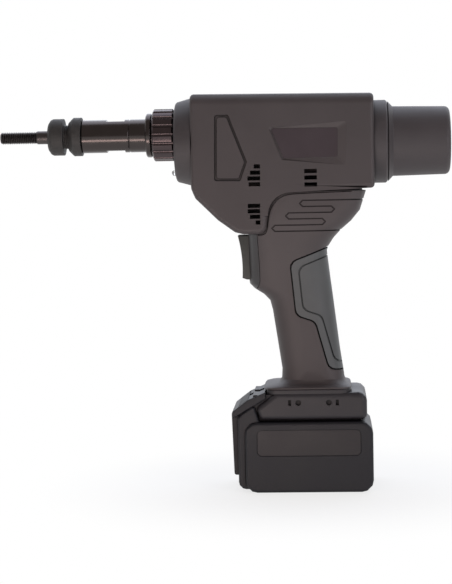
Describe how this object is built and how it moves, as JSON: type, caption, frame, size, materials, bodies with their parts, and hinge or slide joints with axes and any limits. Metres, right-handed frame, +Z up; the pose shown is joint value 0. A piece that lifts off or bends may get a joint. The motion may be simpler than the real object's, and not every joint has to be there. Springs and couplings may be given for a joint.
{
  "type": "cordless rivet nut tool",
  "caption": "Pistol-grip cordless rivet nut setting tool: threaded mandrel in a turned nose, gear and motor body, trigger grip and slide-on battery pack.",
  "frame": {"origin": "centre of the battery block's flat underside, on which the tool stands", "axes": "+Z up; -X towards the nose, along the mandrel; +Y to the right-hand half seen from behind the tool"},
  "size_m": [0.3673, 0.075, 0.3219],
  "materials": {
    "housing": "glass-filled nylon, matte",
    "grip": "soft overmould",
    "bezel": "smooth moulded plastic",
    "trigger": "smooth moulded plastic",
    "switch": "moulded switch body",
    "board": "coated circuit board",
    "case": "satin moulded case",
    "black_steel": "blued steel, glossy",
    "phosphate": "phosphated steel, matte",
    "steel": "ground steel",
    "gear_steel": "hardened steel",
    "alloy": "machined",
    "magnet": "ferrite",
    "copper": "copper windings and bars",
    "contact": "tinned brass",
    "lens": "clear dome",
    "battery": "fine textured plastic",
    "dock": "satin moulded plastic",
    "button": "smooth moulded plastic",
    "cell": null,
    "fastener": "blackened steel"
  },
  "bodies": {
    "tool": {"housing_left": "housing", "housing_right": "housing", "grip_pad_left": "grip", "grip_pad_right": "grip", "trigger_bezel": "bezel", "trigger_switch": "switch", "control_board": "board", "front_case": "case", "gear_plate": "alloy", "motor_case": "case", "rear_cap": "case", "work_light": "lens", "nose_sleeve": "black_steel", "collar_ring": "black_steel", "thrust_bearing": "steel", "nut_bearing": "steel", "output_bearing": "steel", "ring_gear": "gear_steel", "motor_can": "steel", "motor_end_bell": "switch", "magnets": "magnet", "brush_plate": "switch", "motor_bearings": "steel", "battery_dock": "dock", "dock_terminals": "contact", "housing_screws": "fastener", "case_screws": "fastener", "dock_screws": "fastener"},
    "trigger": {"trigger": "trigger"},
    "motor_rotor": {"armature": "copper", "commutator": "copper", "fan": "dock", "sun_gear": "gear_steel"},
    "carrier": {"planet_carrier": "gear_steel", "output_pinion": "gear_steel"},
    "planet_1": {"planet_gear_1": "gear_steel"},
    "planet_2": {"planet_gear_2": "gear_steel"},
    "planet_3": {"planet_gear_3": "gear_steel"},
    "drive_nut": {"ball_nut": "steel", "drive_gear": "gear_steel"},
    "pull_screw": {"ball_screw": "steel"},
    "mandrel": {"mandrel": "phosphate", "mandrel_coupling": "steel"},
    "nosepiece": {"nosepiece": "phosphate"},
    "jam_nut": {"jam_nut": "phosphate"},
    "stroke_ring": {"stroke_ring": "black_steel"},
    "battery": {"battery_tub": "battery", "battery_cover": "battery", "cells": "cell", "cell_holder": "switch", "battery_board": "board", "battery_contacts": "contact"},
    "release": {"release_button": "button", "release_spring": "steel"}
  },
  "joints": [
    {"name": "trigger_press", "type": "slide", "parent": "tool", "child": "trigger", "axis": [1, 0, 0], "range_m": [0, 0.006], "stiffness_N_per_m": 1500, "springref_m": -0.002},
    {"name": "motor_spin", "type": "hinge", "parent": "tool", "child": "motor_rotor", "pos_m": [0.05, 0, 0.2818], "axis": [1, 0, 0], "range_deg": [0, 4032]},
    {"name": "carrier_spin", "type": "hinge", "parent": "tool", "child": "carrier", "pos_m": [0, 0, 0.2818], "axis": [1, 0, 0], "range_deg": [0, 1008]},
    {"name": "planet_1_spin", "type": "hinge", "parent": "carrier", "child": "planet_1", "pos_m": [0, 0, 0.2656], "axis": [1, 0, 0], "range_deg": [-3024, 0]},
    {"name": "planet_2_spin", "type": "hinge", "parent": "carrier", "child": "planet_2", "pos_m": [0, 0.01403, 0.2899], "axis": [1, 0, 0], "range_deg": [-3024, 0]},
    {"name": "planet_3_spin", "type": "hinge", "parent": "carrier", "child": "planet_3", "pos_m": [0, -0.01403, 0.2899], "axis": [1, 0, 0], "range_deg": [-3024, 0]},
    {"name": "nut_spin", "type": "hinge", "parent": "tool", "child": "drive_nut", "pos_m": [-0.05, 0, 0.2904], "axis": [1, 0, 0], "range_deg": [0, 504]},
    {"name": "screw_pull", "type": "slide", "parent": "tool", "child": "pull_screw", "axis": [1, 0, 0], "range_m": [0, 0.00701]},
    {"name": "mandrel_spin", "type": "hinge", "parent": "pull_screw", "child": "mandrel", "pos_m": [-0.2, 0, 0.2904], "axis": [1, 0, 0], "continuous": true},
    {"name": "nosepiece_turn", "type": "hinge", "parent": "tool", "child": "nosepiece", "pos_m": [-0.2, 0, 0.2904], "axis": [1, 0, 0], "continuous": true},
    {"name": "jam_nut_turn", "type": "hinge", "parent": "tool", "child": "jam_nut", "pos_m": [-0.188, 0, 0.2904], "axis": [1, 0, 0], "continuous": true},
    {"name": "stroke_ring_turn", "type": "hinge", "parent": "tool", "child": "stroke_ring", "pos_m": [-0.115, 0, 0.2904], "axis": [1, 0, 0], "continuous": true},
    {"name": "battery_slide", "type": "slide", "parent": "tool", "child": "battery", "axis": [-1, 0, 0], "range_m": [0, 0.11]},
    {"name": "release_press", "type": "slide", "parent": "battery", "child": "release", "axis": [0, 0, -1], "range_m": [0, 0.005], "stiffness_N_per_m": 800, "springref_m": -0.002, "deforming": ["release_spring"]}
  ],
  "couplings": [
    {"joint": "carrier_spin", "follows": "motor_spin", "ratio": 0.25},
    {"joint": "planet_1_spin", "follows": "motor_spin", "ratio": -0.75},
    {"joint": "planet_2_spin", "follows": "motor_spin", "ratio": -0.75},
    {"joint": "planet_3_spin", "follows": "motor_spin", "ratio": -0.75},
    {"joint": "nut_spin", "follows": "motor_spin", "ratio": 0.125},
    {"joint": "screw_pull", "follows": "motor_spin", "m_per_rad": 0.000099472}
  ]
}
